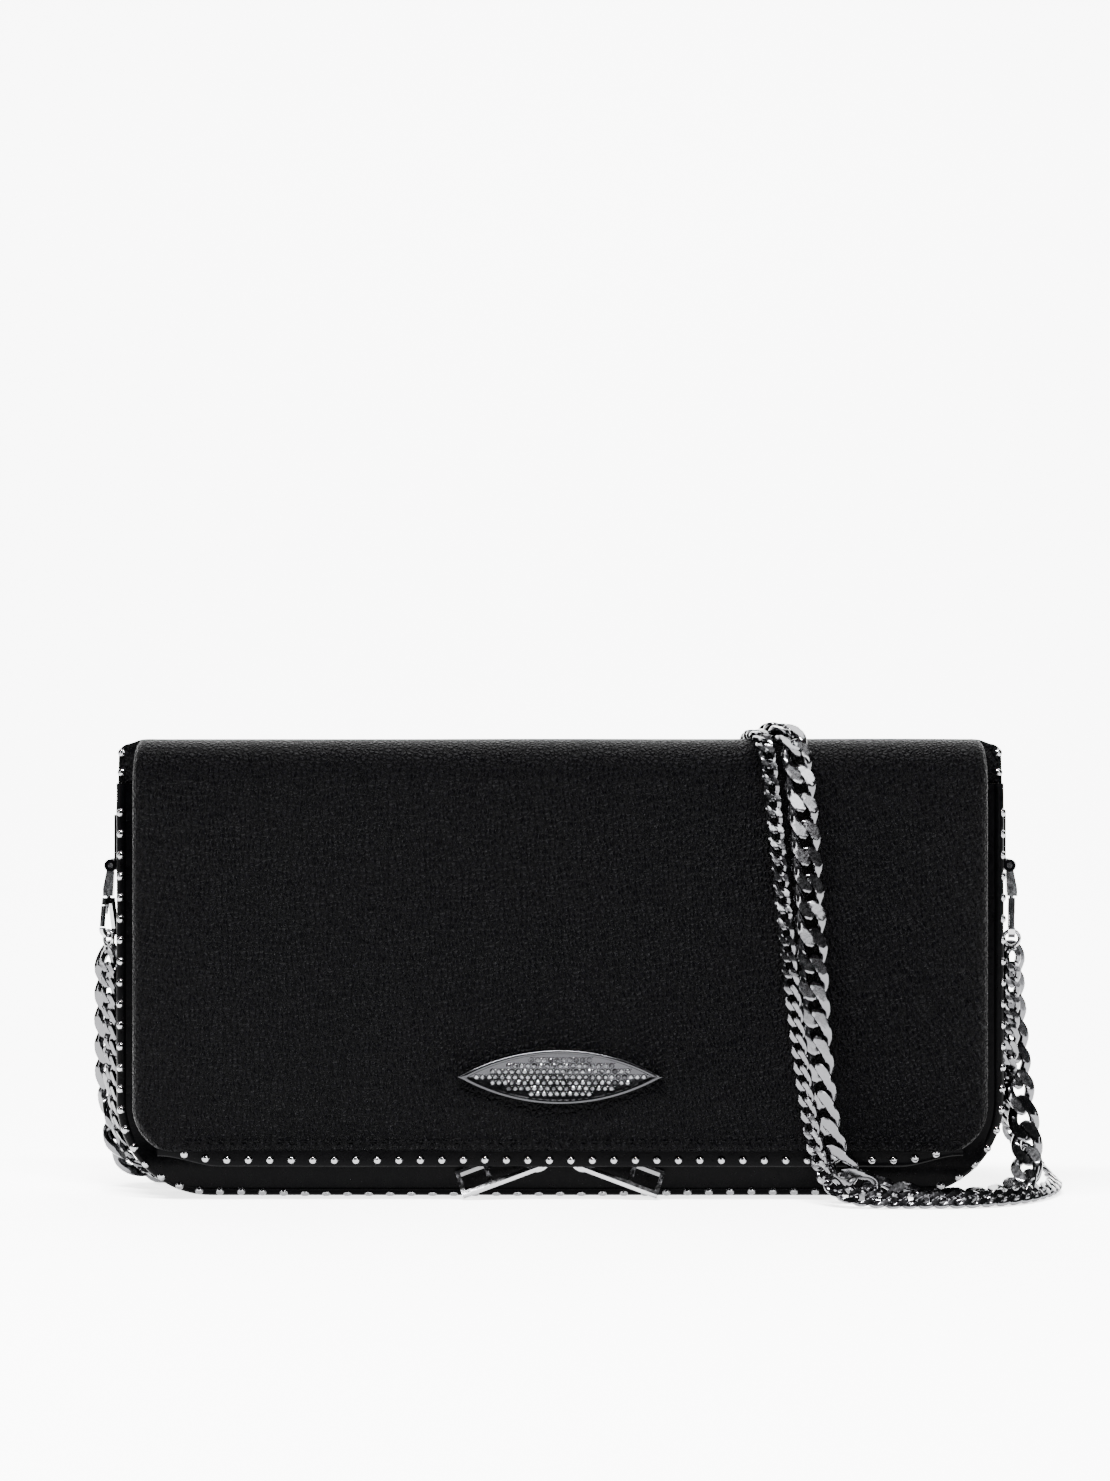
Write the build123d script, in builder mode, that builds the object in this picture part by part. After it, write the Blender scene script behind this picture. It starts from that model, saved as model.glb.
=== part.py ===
"""Fold-over zip clutch wallet with two chain straps, in millimetres.

The bag stands on its base. +Z is up, the front looks along -Y, and +X is to the right.
The origin is the middle of the base of the back half.
"""
from build123d import *
import os
from math import cos, pi, radians, sin, tan

os.makedirs("parts", exist_ok=True)

# Driving dimensions of the bag
bag_width = 280.0
back_depth = 15.0
fold_height = 130.0
corner_radius = 30.0
corner_lift = 0.3
leather = 1.8
lining = 0.6
board = 1.0
half_gap = 1.0

# The front half, a zipped pocket that folds down over the back half
flap_width = 267.0
flap_depth = 12.0
flap_corner = 14.0
hem_height = 15.6
strip_bottom = 10.5
strip_top = 24.0
strip_leather = 1.2

# Edge studs
stud_radius = 1.1
stud_pitch = 6.7
stud_row_height = 12.8

# The zip
zip_height = 17.5
tape = 0.6
tooth_thickness = 1.6
tooth_width = 1.3
tooth_pitch = 3.0
tooth_reach = 0.9
zip_slot = 1.0
zip_half_length = 114.0
slider_length = 12.0
slider_width = 5.6
slider_plate = 1.2
pull_length = 26.5
pull_width = 10.0
pull_thickness = 1.8
left_slider_x = -7.5
right_slider_x = 7.5

# Card pocket and magnetic snap
card_leaf = 0.7
card_leaf_count = 4
card_step = 9.0
magnet_radius = 7.0
magnet_height = 30.0

# Strap hardware on each side
pivot_height = 104.0
hook_axis_x = 143.3
hook_top = 93.6
hook_bottom = 80.9
hook_half_width = 2.9
hook_thickness = 2.2
hook_bar = 1.2
end_ring_radius = 2.5
end_ring_wire = 0.6

# Ornament on the front
ornament_height = 39.0
ornament_length = 64.0
ornament_width = 17.0
ornament_depth = 1.6
stone_radius = 1.05

# Chain straps, as plain tubes of the same mass for each length
thick_chain = 4.8
thin_chain = 3.0

# Worked out from the sizes above; y runs backwards from the viewer
back_y = back_depth / 2
front_y = -back_depth / 2
flap_inner_y = front_y - half_gap
flap_front_y = flap_inner_y - flap_depth
fold_radius = (back_y - flap_front_y) / 2
fold_center_y = (back_y + flap_front_y) / 2
flap_half = flap_width / 2
zip_y = (flap_inner_y - leather + flap_front_y + leather) / 2


def save(piece, name):
    """Label one finished piece and write its STEP file."""
    piece.label = name
    export_step(piece, f"parts/{name}.step")


def facing_front(y, z=0.0):
    """Sketch plane at depth y whose sketch x and y are the bag's X and Z, extruded towards -Y."""
    return Plane(origin=(0, y, z), x_dir=(1, 0, 0), z_dir=(0, -1, 0))


def half_outline(inset, top):
    """Face of the back half: a straight top and rounded lower corners, drawn inset from the edge."""
    width = bag_width - 2 * inset
    with BuildSketch(Plane.XY) as outline:
        with Locations((0, (top + inset) / 2)):
            Rectangle(width, top - inset)
        lower = outline.vertices().group_by(Axis.Y)[0]
        fillet(lower, corner_radius - inset)
    return outline.sketch


def back_sheet(name, y_back, thickness, inset, top=fold_height, window=0.0):
    """Flat sheet of the back half, with an optional round window for the magnet."""
    with BuildPart() as sheet:
        with BuildSketch(facing_front(y_back)):
            add(half_outline(inset, top))
            if window:
                with Locations((0, magnet_height)):
                    Circle(window, mode=Mode.SUBTRACT)
        extrude(amount=thickness)
    save(sheet.part, name)


def flap_sheet(name, y_back, thickness, low, inset=0.0, holes=(), top=fold_height):
    """Flat sheet of the flap, with rounded lower corners and round holes given as (x, z, radius)."""
    with BuildPart() as sheet:
        with BuildSketch(facing_front(y_back)) as outline:
            with Locations((0, (top + low) / 2)):
                Rectangle(flap_width - 2 * inset, top - low)
            lower = outline.vertices().group_by(Axis.Y)[0]
            fillet(lower, max(flap_corner - inset - (low - strip_bottom), 2.0))
            for x, z, radius in holes:
                with Locations((x, z)):
                    Circle(radius, mode=Mode.SUBTRACT)
        extrude(amount=thickness)
    save(sheet.part, name)


def studs(name, places):
    """Group of round studs, each half a ball whose flat side sits on the leather at (x, y, z)."""
    with BuildPart() as group:
        with Locations(*[Plane(origin=place, z_dir=(0, -1, 0)).location for place in places]):
            Sphere(stud_radius, arc_size1=0, align=(Align.CENTER, Align.CENTER, Align.MIN))
    save(group.part, name)


# ---------------------------------------------------------------- back half

back_sheet("back_panel", back_y, leather, leather)
back_sheet("back_board", back_y - leather, board, leather + 0.3)
back_sheet("back_lining", back_y - leather - board, lining, leather + 0.3)
back_sheet("inner_front_panel", front_y + leather, leather, leather)
back_sheet("front_board", front_y + leather + board, board, leather + 0.3, window=magnet_radius + 0.1)
back_sheet("front_lining", front_y + leather + board + lining, lining, leather + 0.3)

with BuildPart() as magnet_back:
    with BuildSketch(facing_front(front_y + leather + board)):
        with Locations((0, magnet_height)):
            Circle(magnet_radius)
    extrude(amount=board)
save(magnet_back.part, "magnet_back")

# The base strip is what the bag stands on. A binding turns each corner a little above it and closes the side
base_run = bag_width / 2 - corner_radius
arc_run = corner_radius * pi / 2
with BuildPart() as base_strip:
    with BuildSketch():
        Rectangle(2 * base_run, back_depth)
    extrude(amount=leather)
save(base_strip.part, "base_strip")

for side, label in ((-1, "left"), (1, "right")):
    outer_x, inner_x = side * bag_width / 2, side * (bag_width / 2 - leather)
    corner_x, corner_z = side * base_run, corner_radius + corner_lift
    along = cos(radians(45))
    with BuildPart() as binding:
        with BuildSketch(facing_front(back_y)):
            with BuildLine():
                Polyline((corner_x, leather), (corner_x, corner_lift))
                ThreePointArc((corner_x, corner_lift),
                              (corner_x + side * corner_radius * along, corner_z - corner_radius * along),
                              (outer_x, corner_z))
                Polyline((outer_x, corner_z), (outer_x, fold_height), (inner_x, fold_height), (inner_x, corner_radius))
                ThreePointArc((inner_x, corner_radius),
                              (corner_x + side * (corner_radius - leather) * along,
                               corner_radius - (corner_radius - leather) * along),
                              (corner_x, leather))
            make_face()
        extrude(amount=back_depth)
    save(binding.part, f"binding_{label}")


def edge_point(distance):
    """Point (x, z) and outward direction at a distance along the right half of the edge, from the middle."""
    if distance <= base_run:
        return (distance, 0.0), (0.0, -1.0)
    if distance <= base_run + arc_run:
        turn = (distance - base_run) / corner_radius
        out = (sin(turn), -cos(turn))
        return (base_run + corner_radius * out[0], corner_radius + corner_radius * out[1]), out
    return (bag_width / 2, corner_radius + distance - base_run - arc_run), (1.0, 0.0)


half_edge = base_run + arc_run + fold_height - corner_radius
edge_stud_count = int((half_edge - 4) / stud_pitch)
stud_inset = stud_radius + 0.1
edge_places = []
for index in range(edge_stud_count):
    (x, z), (out_x, out_z) = edge_point((index + 0.5) * stud_pitch)
    for side in (-1, 1):
        edge_places.append((side * (x - out_x * stud_inset), front_y, z - out_z * stud_inset))
studs("binding_studs", edge_places)

# Card leaves are stepped, so that each slot shows above the one in front of it
leaf_back = back_y - leather - board - lining
for index in range(card_leaf_count):
    leaf_top = 112 - index * card_step
    with BuildPart() as card_pocket:
        with BuildSketch(facing_front(leaf_back - index * card_leaf)) as leaf_face:
            with Locations((0, (leaf_top + 24) / 2)):
                Rectangle(228, leaf_top - 24)
            for x in (-57, 57):
                with Locations((x, leaf_top)):
                    SlotOverall(30, 6, mode=Mode.SUBTRACT)
        extrude(amount=card_leaf)
    save(card_pocket.part, f"card_leaf_{index + 1}")

with BuildPart() as slip_pocket:
    with BuildSketch(facing_front(front_y + leather + board + lining + 0.8)):
        with Locations((0, 54)):
            RectangleRounded(200, 76, 6)
    extrude(amount=0.8)
save(slip_pocket.part, "slip_pocket")

# ---------------------------------------------------------------- flap

post_x = 20.0
post_radius = 1.0
post_holes = [(-post_x, ornament_height, post_radius), (post_x, ornament_height, post_radius)]
flap_sheet("flap_front_panel", flap_front_y + leather, leather, hem_height, holes=post_holes)
flap_sheet("flap_front_lining", flap_front_y + leather + lining, lining, strip_top,
           inset=leather, holes=post_holes)
flap_sheet("flap_inner_panel", flap_inner_y, leather, zip_height - tape / 2)
flap_sheet("flap_board", flap_inner_y - leather, board, zip_height + 3.5, inset=leather,
           holes=[(0, magnet_height, magnet_radius + 0.1)])
flap_sheet("flap_inner_lining", flap_inner_y - leather - board, lining, zip_height + 3.5, inset=leather)

with BuildPart() as magnet_flap:
    with BuildSketch(facing_front(flap_inner_y - leather)):
        with Locations((0, magnet_height)):
            Circle(magnet_radius)
    extrude(amount=board)
save(magnet_flap.part, "magnet_flap")

side_low = strip_top + 1
for side, name in ((-1, "flap_side_left"), (1, "flap_side_right")):
    with BuildPart() as flap_side:
        with BuildSketch(facing_front(flap_inner_y - leather)):
            with Locations((side * (flap_half - leather / 2), (fold_height + side_low) / 2)):
                Rectangle(leather, fold_height - side_low)
        extrude(amount=flap_depth - 2 * leather)
    save(flap_side.part, name)

# The studded strip hangs just below the hem of the front leather
strip_half = flap_half - 8.0
strip_front_y = flap_front_y + leather
with BuildPart() as hem_strip:
    with BuildSketch(facing_front(strip_front_y + strip_leather)) as strip_face:
        with Locations((0, (strip_top - 0.3 + strip_bottom) / 2)):
            Rectangle(2 * strip_half, strip_top - 0.3 - strip_bottom)
        fillet(strip_face.vertices().group_by(Axis.Y)[0], 5)
    extrude(amount=strip_leather)
save(hem_strip.part, "hem_strip")

hem_stud_count = 36
hem_span = (hem_stud_count - 1) * stud_pitch
studs("flap_studs", [(index * stud_pitch - hem_span / 2, strip_front_y, stud_row_height)
                     for index in range(hem_stud_count)])

# ---------------------------------------------------------------- zip

tape_edge = zip_slot / 2 + tooth_reach
tapes = {
    "zip_tape_front": (strip_front_y + strip_leather, zip_y - tape_edge),
    "zip_tape_back": (zip_y + tape_edge, flap_inner_y - leather),
}
for name, (y_low, y_high) in tapes.items():
    with BuildPart() as zip_tape:
        with BuildSketch(Plane.XY.offset(zip_height - tape / 2)):
            with Locations((0, (y_low + y_high) / 2)):
                Rectangle(2 * zip_half_length + 10, y_high - y_low)
        extrude(amount=tape)
    save(zip_tape.part, name)

tooth_count = int(2 * (zip_half_length - 2) / tooth_pitch)
for side, name in ((-1, "zip_teeth_front"), (1, "zip_teeth_back")):
    with BuildPart() as zip_teeth:
        stagger = side * tooth_pitch / 4
        with BuildSketch(Plane.XY.offset(zip_height - tooth_thickness / 2)):
            for index in range(tooth_count):
                x = (index - (tooth_count - 1) / 2) * tooth_pitch + stagger
                with Locations((x, zip_y + side * (zip_slot + tooth_reach) / 2)):
                    Rectangle(tooth_width, tooth_reach)
        extrude(amount=tooth_thickness)
    save(zip_teeth.part, name)

with BuildPart() as zip_end_stops:
    for side in (-1, 1):
        with Locations((side * zip_half_length, zip_y, zip_height)):
            Box(2.4, zip_slot + 2 * tooth_reach, tooth_thickness + 0.8)
save(zip_end_stops.part, "zip_end_stops")

# A slider is two plates joined by a thin post, with an arch underneath that holds the pull
channel = tooth_thickness / 2 + 0.2
arch_radius = 5.5
arch_drop = 6.8
arch_thickness = 1.5
arch_y = zip_y + 0.5
for slider_x, name in ((left_slider_x, "slider_left"), (right_slider_x, "slider_right")):
    with BuildPart() as slider:
        for z in (zip_height - channel - slider_plate, zip_height + channel):
            with BuildSketch(Plane.XY.offset(z)) as plate:
                with Locations((slider_x, zip_y)):
                    Rectangle(slider_length, slider_width)
                fillet(plate.vertices(), 2.4)
            extrude(amount=slider_plate)
        with Locations((slider_x, zip_y, zip_height)):
            Box(5, zip_slot - 0.4, 2 * channel)
        arch_top = zip_height - channel - slider_plate
        with BuildSketch(Plane(origin=(slider_x, arch_y + arch_thickness / 2, arch_top),
                               x_dir=(1, 0, 0), z_dir=(0, -1, 0))):
            Ellipse(arch_radius, arch_drop)
            Ellipse(arch_radius - 1.2, arch_drop - 1.2, mode=Mode.SUBTRACT)
            with Locations((0, arch_drop)):
                Rectangle(4 * arch_radius, 2 * arch_drop, mode=Mode.SUBTRACT)
        extrude(amount=arch_thickness)
    save(slider.part, name)

# A pull is a flat frame with two windows; its narrow end bar lies in the slider's arch
pull_pivot_z = 12.4
pull_bar = 1.4
pull_near = -3.9
pull_far = pull_near + pull_width
neck_length = 9.0
neck_far = 2.8
pull_heel = -1.1


def pull_plane(slider_x, side):
    """Plane of a pull: x along the pull away from the slider, y across it, up and to the back."""
    along = Vector(side * 0.93, -0.02, -0.345).normalized()
    across = Vector(side * 0.25, 0.72, 0.66)
    across = (across - along * across.dot(along)).normalized()
    return Plane(origin=(slider_x, arch_y, pull_pivot_z), x_dir=along, z_dir=along.cross(across))


tip = pull_heel + pull_length
cross_bar = tip - pull_bar - 9.0
for slider_x, side, name in ((left_slider_x, -1, "pull_left"), (right_slider_x, 1, "pull_right")):
    with BuildPart() as pull:
        with BuildSketch(pull_plane(slider_x, side).offset(-pull_thickness / 2)):
            with BuildLine():
                Polyline((pull_heel, pull_near), (tip, pull_near), (tip, pull_far), (neck_length, pull_far),
                         (neck_length - 5, neck_far), (pull_heel, neck_far), close=True)
            make_face()
            with BuildLine():
                low = pull_near + pull_bar
                Polyline((pull_heel + pull_bar, low), (cross_bar, low), (cross_bar, pull_far - pull_bar),
                         (neck_length + 0.8, pull_far - pull_bar), (neck_length - 4.2, neck_far - 0.8),
                         (pull_heel + pull_bar, neck_far - 0.8), close=True)
            make_face(mode=Mode.SUBTRACT)
            with Locations(((cross_bar + tip) / 2, (pull_near + pull_far) / 2)):
                Rectangle(tip - cross_bar - 2 * pull_bar, pull_width - 2 * pull_bar, mode=Mode.SUBTRACT)
        extrude(amount=pull_thickness)
    save(pull.part, name)

# ---------------------------------------------------------------- ornament

marquise_radius = (ornament_length ** 2 / 4 + ornament_width ** 2 / 4) / ornament_width


def marquise(inset):
    """Pointed oval made of two arcs, drawn inset from the ornament's edge."""
    half = ornament_length / 2 - 3 * inset
    rise = ornament_width / 2 - inset
    with BuildSketch(Plane.XY) as oval:
        with BuildLine():
            ThreePointArc((-half, 0), (0, rise), (half, 0))
            ThreePointArc((half, 0), (0, -rise), (-half, 0))
        make_face()
    return oval.sketch


with BuildPart() as ornament_plate:
    with BuildSketch(facing_front(flap_front_y, ornament_height)):
        add(marquise(0))
    extrude(amount=ornament_depth)
    with BuildSketch(facing_front(flap_front_y - ornament_depth, ornament_height)):
        add(marquise(1.3))
    extrude(amount=-0.7, mode=Mode.SUBTRACT)
    with BuildSketch(facing_front(flap_front_y + leather + lining + 1.4)):
        with Locations((-post_x, ornament_height), (post_x, ornament_height)):
            Circle(post_radius)
    extrude(amount=leather + lining + 1.4)
save(ornament_plate.part, "ornament_plate")

with BuildPart() as ornament_washers:
    with BuildSketch(facing_front(flap_front_y + leather + lining + 0.8)):
        with Locations((-post_x, ornament_height), (post_x, ornament_height)):
            Circle(4)
            Circle(post_radius, mode=Mode.SUBTRACT)
    extrude(amount=0.8)
save(ornament_washers.part, "ornament_washers")

stone_pitch = 2.45
row_pitch = stone_pitch * 0.87
stone_places = []
for row in range(-3, 4):
    z = row * row_pitch
    chord = marquise_radius ** 2 - (abs(z) + marquise_radius - ornament_width / 2 + 2.6) ** 2
    if chord > 0:
        count = int((chord ** 0.5 - 1) * 2 / stone_pitch)
        stone_places += [((index - count / 2) * stone_pitch, z) for index in range(count + 1)]
with BuildPart() as ornament_stones:
    with BuildSketch(facing_front(flap_front_y - ornament_depth + 0.7, ornament_height)):
        with Locations(*stone_places):
            RegularPolygon(stone_radius, 6)
    extrude(amount=0.95, taper=22)
save(ornament_stones.part, "ornament_stones")

# ---------------------------------------------------------------- fold

fold_sheets = {
    "fold_spine": (fold_center_y, fold_radius, leather, flap_width),
    "fold_inner": ((front_y + flap_inner_y) / 2, half_gap / 2 + leather, leather, flap_width - 12),
}
for name, (center_y, outer, thickness, width) in fold_sheets.items():
    with BuildPart() as fold:
        with BuildSketch(Plane(origin=(-width / 2, center_y, fold_height), x_dir=(0, 1, 0), z_dir=(1, 0, 0))):
            Circle(outer)
            Circle(outer - thickness, mode=Mode.SUBTRACT)
            with Locations((0, -outer)):
                Rectangle(4 * outer, 2 * outer, mode=Mode.SUBTRACT)
        extrude(amount=width)
    save(fold.part, name)

# ---------------------------------------------------------------- strap hardware

loop_x = 142.2
for side, label in ((-1, "left"), (1, "right")):
    # Leather tab, sewn to the side, with a loop that holds the pivot bar of the metal block
    with BuildPart() as strap_tab:
        with BuildSketch(facing_front(4)):
            with Locations((side * (bag_width / 2 + 0.5), pivot_height + 8)):
                Rectangle(1.0, 16)
            with Locations((side * loop_x, pivot_height)):
                Circle(2.0)
                Circle(0.95, mode=Mode.SUBTRACT)
        extrude(amount=8)
        with Locations((side * (loop_x + 0.2), 0, pivot_height - 1.0)):
            Box(4.8, 4.4, 7, mode=Mode.SUBTRACT)
    save(strap_tab.part, f"strap_tab_{label}")

    # Metal block: a pivot bar through the tab, a wedge between its loops and a socket for the hook
    with BuildPart() as swivel_block:
        with BuildSketch(facing_front(3.9)):
            with Locations((side * loop_x, pivot_height)):
                Circle(0.8)
        extrude(amount=7.8)
        with BuildSketch(facing_front(1.9)):
            with BuildLine():
                Polyline((side * (loop_x - 0.9), pivot_height + 1.6),
                         (side * (loop_x + 0.9), pivot_height + 1.6),
                         (side * (hook_axis_x + 1.6), hook_top + 3.0),
                         (side * (hook_axis_x + 1.6), hook_top + 0.6),
                         (side * (hook_axis_x - 1.6), hook_top + 0.6),
                         (side * (loop_x - 0.9), pivot_height - 3.0),
                         close=True)
            make_face()
        extrude(amount=3.8)
        with BuildSketch(Plane.XY.offset(hook_top + 0.6)):
            with Locations((side * hook_axis_x, 0)):
                Circle(0.75)
        extrude(amount=2.4, mode=Mode.SUBTRACT)
    save(swivel_block.part, f"swivel_block_{label}")

    # Snap hook, drawn flat: spine, closed foot and open side for the sprung gate
    turn = 40 if side < 0 else 84
    hook_plane = Plane(origin=(side * hook_axis_x, 0, 0),
                       x_dir=(-cos(radians(turn)), -sin(radians(turn)), 0),
                       z_dir=(-sin(radians(turn)), cos(radians(turn)), 0))
    foot = hook_bottom + hook_half_width
    with BuildPart() as snap_hook:
        with BuildSketch(hook_plane.offset(-hook_thickness / 2)) as hook_face:
            with BuildLine():
                Polyline((-hook_half_width, foot), (-1.7, hook_top), (1.7, hook_top), (hook_half_width, foot))
                ThreePointArc((hook_half_width, foot), (0, hook_bottom), (-hook_half_width, foot))
            make_face()
            with BuildLine():
                inner = hook_half_width - hook_bar
                Polyline((-inner, foot), (-0.5, hook_top - 1.8), (0.5, hook_top - 1.8), (inner, foot))
                ThreePointArc((inner, foot), (0, hook_bottom + hook_bar), (-inner, foot))
            make_face(mode=Mode.SUBTRACT)
            with Locations((hook_half_width - 0.2, (foot + 0.4 + hook_top - 2.2) / 2)):
                Rectangle(3.4, hook_top - 2.2 - foot - 0.4, mode=Mode.SUBTRACT)
        extrude(amount=hook_thickness)
        with BuildSketch(Plane.XY.offset(hook_top - 0.2)):
            with Locations((side * hook_axis_x, 0)):
                Circle(0.68)
        extrude(amount=2.8)
    save(snap_hook.part, f"snap_hook_{label}")

    with BuildPart() as hook_gate:
        with BuildSketch(hook_plane.offset(-0.8)):
            with BuildLine():
                Polyline((1.45, hook_top - 2.5), (2.25, hook_top - 2.5), (2.85, foot + 0.7), (1.85, foot + 0.7),
                         close=True)
            make_face()
        extrude(amount=1.6)
    save(hook_gate.part, f"hook_gate_{label}")

    # End ring, which the last link of each chain hangs from
    ring_center = hook_bottom - 0.2
    across = Plane(origin=(side * hook_axis_x, 0, ring_center),
                   x_dir=hook_plane.z_dir, z_dir=hook_plane.x_dir)
    with BuildPart() as end_ring:
        with BuildSketch(Plane(origin=across.from_local_coords((end_ring_radius, 0, 0)),
                               x_dir=across.x_dir, z_dir=across.y_dir)):
            Circle(end_ring_wire)
        revolve(axis=Axis(across.origin, across.z_dir), revolution_arc=360)
    save(end_ring.part, f"end_ring_{label}")

# ---------------------------------------------------------------- chain straps

chain_start = 76.8


def chain_stretch(name, points, diameter):
    """Tube along straight runs joined by the largest tangent arcs that the runs allow."""
    runs = [Vector(*end) - Vector(*start) for start, end in zip(points, points[1:])]
    radii = []
    for before, after in zip(runs, runs[1:]):
        half_turn = radians(before.get_angle(after)) / 2
        radii.append(0.45 * min(before.length, after.length) / tan(half_turn))
    with BuildPart() as stretch:
        with BuildLine() as route:
            FilletPolyline(*points, radius=radii)
        with BuildSketch(Plane(origin=points[0], z_dir=runs[0])):
            Circle(diameter / 2)
        sweep()
    length = route.wires()[0].length
    ratio = stretch.part.volume / (length * pi * diameter ** 2 / 4)
    print(f"{name}: length {length:.1f}, volume ratio {ratio:.3f}, smallest arc {min(radii):.1f},",
          "radii", [round(radius, 1) for radius in radii])
    save(stretch.part, name)
    return length


thick_back_foot = (62, 13.4, 44)
thick_front_foot = (104, -27.6, 2.7)
thick_left = [
    (-143.3, 3.0, chain_start), (-143.6, 4.0, 65), (-144.3, 6.0, 49), (-144.8, 8.4, 32), (-144.0, 12, 17),
    (-137.5, 18, 6), (-123, 21.5, 2.6), (-98, 19.5, 2.6), (-60, 22.5, 2.6), (-20, 19.5, 2.6),
    (14, 22, 2.6), (36, 21.2, 2.6), (50, 19.2, 5.2), (58.5, 16.5, 14), (61.4, 14.2, 28), thick_back_foot,
]
thick_drape = [
    thick_back_foot, (62.2, 13.0, 60), (62.8, 12.6, 88), (64, 12.3, 118), (66.5, 11.6, 146.9),
    (72.5, -24.4, 146.9), (75.4, -24.6, 120), (77.3, -24.4, 92), (78.8, -24.8, 64), (80.2, -25.2, 42),
    (81.8, -26.2, 26), (84.6, -26.8, 14.5), (91.6, -27.2, 5.2), thick_front_foot,
]
thick_right = [
    thick_front_foot, (113, -27.6, 2.6), (126, -26.6, 2.6), (138, -21, 2.6), (146.2, -11, 4.6),
    (148.4, -2.5, 14), (146.2, 2, 30), (144.9, 3.2, 46), (143.8, 3.1, 61), (143.3, 3.0, chain_start),
]
thin_back_foot = (54.6, 11.6, 44)
thin_front_foot = (100, -35, 2.7)
thin_left = [
    (-143.3, -2.6, chain_start), (-142.9, -2.8, 65), (-142.2, -1.6, 50), (-142.2, 1.2, 34), (-141.4, 5.4, 18),
    (-136.5, 10.4, 7), (-124, 12.4, 1.8), (-98, 11.2, 1.7), (-58, 12.8, 1.7), (-16, 11.2, 1.7),
    (18, 12.6, 1.7), (38, 11.8, 1.7), (49, 11.9, 4.8), (53.4, 11.7, 14), (54.4, 11.8, 28), thin_back_foot,
]
thin_drape = [
    thin_back_foot, (55, 11.5, 60), (55.6, 11.3, 88), (56.6, 11.2, 118), (59.4, 10.6, 145.9),
    (63.8, -23.5, 145.9), (66.4, -23.6, 120), (69.2, -23.3, 92), (72.2, -23.8, 64), (74.8, -24.2, 42),
    (77.2, -25.2, 26), (79.4, -28.2, 13), (83.6, -32.2, 5.6), (91, -34.4, 3), thin_front_foot,
]
thin_right = [
    thin_front_foot, (110, -35.2, 2.7), (126, -34.4, 2.7), (141.5, -27.5, 2.7), (152.5, -13.5, 2.7),
    (157.5, 0, 2.7), (157.5, 11, 4), (152.5, 19, 9.5), (145.6, 17.8, 17), (142.2, 10, 24),
    (142.0, 1.4, 32.5), (142.4, -3.2, 45), (143, -2.9, 61), (143.3, -2.6, chain_start),
]
thick_length = sum([
    chain_stretch("thick_chain_left", thick_left, thick_chain),
    chain_stretch("thick_chain_drape", thick_drape, thick_chain),
    chain_stretch("thick_chain_right", thick_right, thick_chain),
])
thin_length = sum([
    chain_stretch("thin_chain_left", thin_left, thin_chain),
    chain_stretch("thin_chain_drape", thin_drape, thin_chain),
    chain_stretch("thin_chain_right", thin_right, thin_chain),
])
print(f"thick strap {thick_length:.0f} mm, thin strap {thin_length:.0f} mm")
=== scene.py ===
"""Looks of the fold-over zip clutch with two chain straps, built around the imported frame.

Lengths in this file are millimetres in the frame's own axes, and turn into metres when a mesh is made.
"""
import math
from math import cos, pi, radians, sin, sqrt

import bpy
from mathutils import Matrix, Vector, noise


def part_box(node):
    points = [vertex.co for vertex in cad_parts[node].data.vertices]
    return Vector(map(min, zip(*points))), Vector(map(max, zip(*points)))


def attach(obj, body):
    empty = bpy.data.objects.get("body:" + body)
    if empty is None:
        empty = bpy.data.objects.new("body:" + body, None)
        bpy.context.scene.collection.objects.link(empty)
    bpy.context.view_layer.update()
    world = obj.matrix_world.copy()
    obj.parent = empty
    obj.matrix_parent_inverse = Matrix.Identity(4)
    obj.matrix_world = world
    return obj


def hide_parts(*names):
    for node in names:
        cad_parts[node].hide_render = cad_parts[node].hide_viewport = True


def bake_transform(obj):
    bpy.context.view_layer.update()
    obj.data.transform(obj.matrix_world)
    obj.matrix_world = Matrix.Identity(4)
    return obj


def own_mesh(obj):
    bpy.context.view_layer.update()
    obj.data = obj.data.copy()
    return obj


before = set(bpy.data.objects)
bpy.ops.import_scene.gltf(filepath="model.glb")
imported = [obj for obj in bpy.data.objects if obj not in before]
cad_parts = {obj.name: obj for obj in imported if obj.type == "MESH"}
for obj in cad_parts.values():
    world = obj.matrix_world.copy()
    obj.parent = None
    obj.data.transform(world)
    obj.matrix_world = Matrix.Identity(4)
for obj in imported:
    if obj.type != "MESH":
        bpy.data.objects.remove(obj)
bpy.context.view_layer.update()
MM = 0.001


def box_mm(node):
    """Lowest and highest corner of a CAD node, in millimetres."""
    low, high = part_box(node)
    return [1000 * value for value in low], [1000 * value for value in high]


flap_low, flap_high = box_mm("flap_front_panel")
back_low, back_high = box_mm("back_panel")
edge_low, edge_high = box_mm("binding_right")
inner_low, inner_high = box_mm("inner_front_panel")
spine_low, spine_high = box_mm("fold_spine")
strip_low, strip_high = box_mm("hem_strip")
plate_low, plate_high = box_mm("ornament_plate")

# ------------------------------------------------------------------ camera

CAMERA_DISTANCE = 1000
CAMERA_SIDE = -1.6
HORIZON = 143.5
LENS, SENSOR = 76.56, 36
FAR_CLIP = 20
camera_data = bpy.data.cameras.new("camera")
camera_data.lens = LENS
camera_data.sensor_width = SENSOR
camera_data.clip_end = FAR_CLIP
camera = bpy.data.objects.new("camera", camera_data)
bpy.context.scene.collection.objects.link(camera)
camera.location = Vector((CAMERA_SIDE, -CAMERA_DISTANCE, HORIZON)) * MM
camera.rotation_euler = (pi / 2, 0, 0)
bpy.context.scene.camera = camera

# ------------------------------------------------------------------ small helpers


def smooth(low, high, value):
    """0 below low, 1 above high, and a smooth step between them."""
    share = min(max((value - low) / (high - low), 0), 1)
    return share * share * (3 - 2 * share)


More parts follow.
